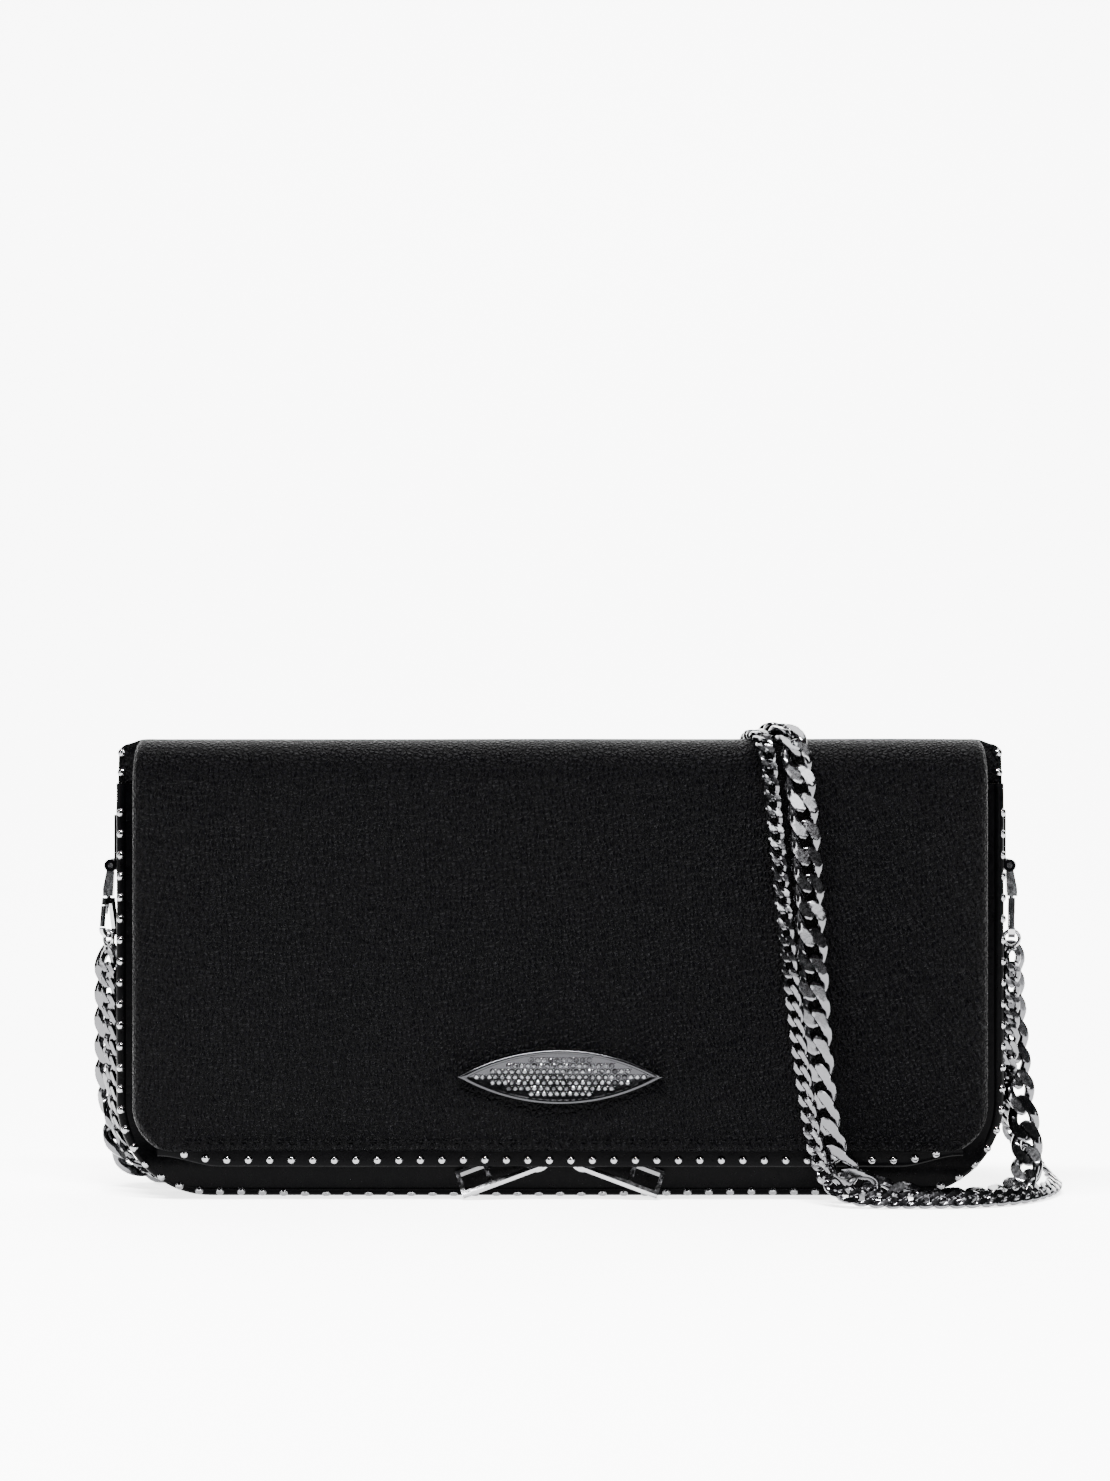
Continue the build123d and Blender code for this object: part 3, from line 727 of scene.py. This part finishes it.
def edge_studs():
    """Studs along the front bead, turned under along the base and outward on the right side."""
    bare_ends, sunk = 16, 0.1
    seat = BEAD - sunk
    count = int((EDGE_LENGTH - bare_ends) / STUD_PITCH)
    parts = []
    for index in range(count + 1):
        distance = EDGE_LENGTH / 2 + (index - count / 2) * STUD_PITCH
        (x, z), (out_x, out_z), share = edge_frame(distance)
        under = 38 * smooth(0.3, 0.36, share) * smooth(0.62, 0.5, share)
        outward = 46 * smooth(0.72, 0.86, share)
        lean = radians(14 + under + outward + 6 * wobble((x, 0, z), 9, 9))
        out = -BEAD + seat * sin(lean)
        y = edge_low[1] + BEAD - BEAD_FORWARD - seat * cos(lean)
        normal = (out_x * sin(lean), -cos(lean), out_z * sin(lean))
        parts.append(dome((x + out_x * out, y, z + out_z * out), normal))
    made = piece("edge_studs", *joined(parts), STUD_METAL, "stud_metal", "bag")
    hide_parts("binding_studs")


def strip_rise(x):
    """How far the studded strip rises towards its two ends."""
    return 3.4 * smooth(106, 125, abs(x))


def strip_wave(x):
    """How far the studded strip waves up and down."""
    return 0.2 * wobble((x, 0, 0), 24, 12)


def studded_strip():
    """Narrow leather strip under the hem."""
    front, bottom, top, half = strip_low[1], strip_low[2], strip_high[2], strip_high[0]
    section = [(front + 1.1, top), (front + 0.1, top - 4), (front, bottom + 4), (front - 0.15, bottom + 2),
               (front, bottom + 0.7), (front + 0.45, bottom + 0.1), (front + 0.9, bottom + 0.2),
               (front + 1.1, bottom + 1.2), (front + 1.15, top)]
    columns = spread(-half, half, 120)
    points = []
    for y, z in section:
        for x in columns:
            rise = strip_rise(x) * smooth(top, bottom + 3, z)
            points.append((x, y + 0.12 * wobble((x, 0, z), 14, 11), z + rise + strip_wave(x)))
    faces = grid_faces(len(section), len(columns))
    made = piece("studded_strip", points, faces, PLAIN_LEATHER, "smooth_leather", "flap")
    made.data.flip_normals()
    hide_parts("hem_strip")


def hem_studs():
    """Row of studs along the strip, the last few turned towards its ends."""
    count, height, sunk = 36, 12.8, 0.1
    parts = []
    for index in range(count):
        x = (index - (count - 1) / 2) * STUD_PITCH
        z = height + strip_rise(x) * 0.9 + strip_wave(x)
        tilt = 0.5 * smooth(108, 120, abs(x)) * math.copysign(1, x)
        parts.append(dome((x, strip_low[1] - sunk, z), (tilt, -1, -0.12)))
    made = piece("hem_studs", *joined(parts), STUD_METAL, "stud_metal", "flap")
    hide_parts("flap_studs")


STITCH_HEIGHT, STITCH_END, STITCH_SPACING = 18.8, 118, 3.6
STITCH_RADIUS = 0.26
# The leather's depth is read at every PROBE_GAP from -PROBE_END to PROBE_END
PROBE_GAP, PROBE_END = 4, 122


def flap_face_y(flap_piece, x, z):
    """Depth of the flap leather's face near a point, read from its own mesh."""
    def miss(vertex):
        place = vertex.co * 1000
        return (place.x - x) ** 2 + (place.z - z) ** 2 + 4 * max(place.y - flap_low[1] - 1.5, 0) ** 2

    return min(flap_piece.data.vertices, key=miss).co.y * 1000


def hem_stitching(flap_piece):
    """Row of short sunk stitches along the hem."""
    probes = range(-PROBE_END, PROBE_END + 1, PROBE_GAP)
    depths = {x: flap_face_y(flap_piece, x, STITCH_HEIGHT) for x in probes}

    def depth(x):
        low = PROBE_GAP * math.floor(x / PROBE_GAP) + PROBE_GAP // 2
        low = max(min(low, PROBE_END - PROBE_GAP), -PROBE_END)
        share = min(max((x - low) / PROBE_GAP, 0), 1)
        return depths[low] * (1 - share) + depths[low + PROBE_GAP] * share

    count = int(2 * STITCH_END / STITCH_SPACING)
    steps, around = 7, 6
    parts = []
    for index in range(count):
        middle = -STITCH_END + (index + 0.5) * 2 * STITCH_END / count
        points = []
        for share in spread(-1, 1, steps):
            thick = STITCH_RADIUS * sqrt(max(1 - abs(share) ** 3, 0.02))
            x = middle + share * STITCH_SPACING * 0.37
            y = depth(x) - (0.16 - 0.3 * share ** 4)
            for turn in range(around):
                angle = 2 * pi * turn / around
                points.append((x, y - thick * sin(angle), STITCH_HEIGHT + thick * cos(angle)))
        parts.append((points, grid_faces(steps, around, closed=True)))
    piece("hem_stitching", *joined(parts), PLAIN_LEATHER, "smooth_leather", "flap")


flap_piece = flap_leather()
fold_leather()
fold_studs()
inner_hinge()
back_sheet("back_leather", "back_panel", back_low, back_high, 1, 0.4, LEATHER, "grained_leather")
back_sheet("inner_front_leather", "inner_front_panel", inner_low, inner_high, -1, 1.25,
           PLAIN_LEATHER, "smooth_leather")
rolled_binding()
edge_studs()
studded_strip()
hem_studs()
hem_stitching(flap_piece)

# ------------------------------------------------------------------ ornament


PLAQUE_LENGTH, PLAQUE_WIDTH = plate_high[0] - plate_low[0], 17.0
PLAQUE_BACK = flap_low[1] - 0.2
PLAQUE_HEIGHT = (plate_low[2] + plate_high[2]) / 2
FIELD_RISE = 0.95
STONE_RADIUS, STONE_PITCH, STONE_ROW_PITCH = 0.92, 2.0, 1.74


def plaque_outline(inset, count=48):
    """(x, z) points of two arcs that meet in a point at each end, drawn in by an inset."""
    tip_share = 2.6
    half, rise = PLAQUE_LENGTH / 2 - tip_share * inset, PLAQUE_WIDTH / 2 - inset
    arc = (half ** 2 + rise ** 2) / (2 * rise)
    reach = math.asin(half / arc)
    return [(side * arc * sin(angle), side * (arc * cos(angle) - arc + rise))
            for side in (1, -1) for angle in spread(-reach, reach, count)[:-1]]


def plaque():
    """Pointed oval plaque with a raised rim and a sunk field."""
    section = [(0, 0), (0, 1.2), (0.3, 1.65), (0.75, 1.8), (1.15, 1.65), (1.35, 1.0), (1.5, FIELD_RISE)]
    points = [(x, PLAQUE_BACK - rise, PLAQUE_HEIGHT + z)
              for inset, rise in section for x, z in plaque_outline(inset)]
    around = len(plaque_outline(0))
    faces = grid_faces(len(section), around, closed=True)
    faces.append(tuple((len(section) - 1) * around + step for step in range(around)))
    made = piece("plaque", points, faces, PLAQUE_METAL, "hardware_metal", "flap", sharp=40)
    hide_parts("ornament_plate")


def cut_stone(centre, radius, turn):
    """One cut stone: a girdle of eight sides, a crown of small facets and a flat table."""
    rings = [(1.0, 0.0), (1.0, 0.12), (0.78, 0.5), (0.5, 0.72)]
    sides, turned_ring = 8, 2
    points = []
    for level, (share, rise) in enumerate(rings):
        for step in range(sides):
            angle = 2 * pi * (step + (0.5 if level == turned_ring else 0)) / sides + turn
            points.append(Vector(centre) + radius * Vector((share * cos(angle), -rise, share * sin(angle))))
    faces = grid_faces(2, sides, closed=True)
    girdle, crown, table = sides, 2 * sides, 3 * sides
    for step in range(sides):
        after = (step + 1) % sides
        faces.append((girdle + step, girdle + after, crown + step))
        faces.append((girdle + after, crown + after, crown + step))
    for step in range(sides):
        after = (step + 1) % sides
        faces.append((crown + step, table + after, table + step))
        faces.append((crown + step, crown + after, table + after))
    faces.append(tuple(table + step for step in range(sides)))
    return points, faces


def plaque_stones():
    """Rows of cut stones that fill the plaque's field, with a small prong beside each."""
    rim, end_gap = 1.45, 0.5
    arc = (PLAQUE_LENGTH ** 2 + PLAQUE_WIDTH ** 2) / (4 * PLAQUE_WIDTH)
    field_y = PLAQUE_BACK - FIELD_RISE
    stones, prongs = [], []
    for row in range(-3, 4):
        z = row * STONE_ROW_PITCH
        chord = arc ** 2 - (abs(z) + arc - PLAQUE_WIDTH / 2 + rim + STONE_RADIUS) ** 2
        count = 2 * int((sqrt(chord) - end_gap) / STONE_PITCH - (row % 2) / 2) + row % 2
        for index in range(count + 1):
            x = (index - count / 2) * STONE_PITCH
            turn = wobble((x * 9, z * 9, 0), 3, 20) * 2
            stones.append(cut_stone((x, field_y, PLAQUE_HEIGHT + z), STONE_RADIUS, turn))
            prong = (x + STONE_PITCH / 2, field_y, PLAQUE_HEIGHT + z + STONE_ROW_PITCH / 3)
            prongs.append(dome(prong, (0, -1, 0), radius=0.22, height=0.6))
    made = piece("plaque_stones", *joined(stones), CRYSTAL, "stones", "flap")
    made.data.shade_flat()
    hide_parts("ornament_stones")
    piece("plaque_prongs", *joined(prongs), STUD_METAL, "stud_metal", "flap")


plaque()
plaque_stones()

# ------------------------------------------------------------------ carried-over CAD nodes

# Material, width of the softened edges, and the CAD nodes that get them
CARRIED = [
    (HARDWARE, 0.22, ["slider_left", "slider_right", "pull_left", "pull_right", "swivel_block_left",
                      "swivel_block_right", "snap_hook_left", "snap_hook_right", "hook_gate_left",
                      "hook_gate_right", "end_ring_left", "end_ring_right", "zip_end_stops",
                      "zip_teeth_front", "zip_teeth_back", "ornament_washers"]),
    (PLAIN_LEATHER, 0.2, ["flap_inner_panel", "card_leaf_1", "card_leaf_2", "card_leaf_3", "card_leaf_4",
                          "slip_pocket", "strap_tab_left", "strap_tab_right"]),
    (LINING, 0, ["back_lining", "front_lining", "flap_front_lining", "flap_inner_lining"]),
    (BOARD, 0, ["back_board", "front_board", "flap_board"]),
    (TAPE, 0, ["zip_tape_front", "zip_tape_back"]),
    (MAGNET_METAL, 0, ["magnet_back", "magnet_flap"]),
]
for material, edge, nodes in CARRIED:
    for node in nodes:
        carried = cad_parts[node]
        carried.data.materials.clear()
        carried.data.materials.append(material)
        if edge:
            soften = carried.modifiers.new("edges", "BEVEL")
            soften.width = edge * MM
            soften.segments = 2
            soften.limit_method = "ANGLE"
            soften.angle_limit = radians(40)

# ------------------------------------------------------------------ studio

FLOOR_GLOW, WALL_GLOW = 2.9, 4.9
FLOOR_FRONT, FLOOR_BACK = -430, 900
CURVE_RADIUS = 600
WALL_TOP = 2200
SHEET_HALF = 1800


def backdrop():
    """Pale seamless sheet: floor, a wide curve and a wall, glowing more towards the wall."""
    profile = [(FLOOR_FRONT, 0), (0, 0), (FLOOR_BACK / 2, 0), (FLOOR_BACK, 0)]
    profile += [(FLOOR_BACK + CURVE_RADIUS * sin(angle), CURVE_RADIUS * (1 - cos(angle)))
                for angle in spread(0.1, pi / 2, 16)]
    profile += [(FLOOR_BACK + CURVE_RADIUS, WALL_TOP)]
    points = [(x, y, z) for y, z in profile for x in (-SHEET_HALF, SHEET_HALF)]
    n = Nodes("backdrop")
    n.set(Roughness=0.9)
    n.link(n.mix_colour(n.noise(3.0), (0.79, 0.79, 0.79), (0.81, 0.81, 0.81)), n.shader, "Base Color")
    n.shader.inputs["Emission Color"].default_value = (1, 1, 1, 1)
    split = n.add("ShaderNodeSeparateXYZ")
    n.link(n.place, split, "Vector")
    n.link(n.remap(split.outputs["Y"], 0.1, 1.0, FLOOR_GLOW, WALL_GLOW), n.shader, "Emission Strength")
    data = bpy.data.meshes.new("backdrop")
    data.from_pydata([Vector(point) * MM for point in points], [], grid_faces(len(profile), 2))
    data.shade_smooth()
    sheet = bpy.data.objects.new("backdrop", data)
    bpy.context.scene.collection.objects.link(sheet)
    data.materials.append(n.material)


def softbox(name, place, aim, size, power):
    """Rectangular soft light aimed at a point, with its power in watts."""
    data = bpy.data.lights.new(name, "AREA")
    data.shape = "RECTANGLE"
    data.size, data.size_y = (MM * value for value in size)
    data.energy = power
    light = bpy.data.objects.new(name, data)
    bpy.context.scene.collection.objects.link(light)
    light.location = Vector(place) * MM
    direction = Vector(aim) - Vector(place)
    light.rotation_euler = direction.to_track_quat("-Z", "Y").to_euler()


backdrop()
world = bpy.data.worlds.new("studio")
bpy.context.scene.world = world
world.use_nodes = True
room = world.node_tree.nodes["Background"].inputs
room["Color"].default_value = (0.9, 0.92, 1.0, 1)
room["Strength"].default_value = 0.05
softbox("top_light", place=(350, 520, 1500), aim=(0, 150, 0), size=(1400, 800), power=42)
softbox("grain_light", place=(-150, -420, 1100), aim=(0, 0, 80), size=(900, 60), power=110)
softbox("right_light", place=(900, -1500, 500), aim=(60, 0, 60), size=(300, 900), power=22)
softbox("left_light", place=(-1400, -900, 400), aim=(0, 0, 60), size=(160, 900), power=10)
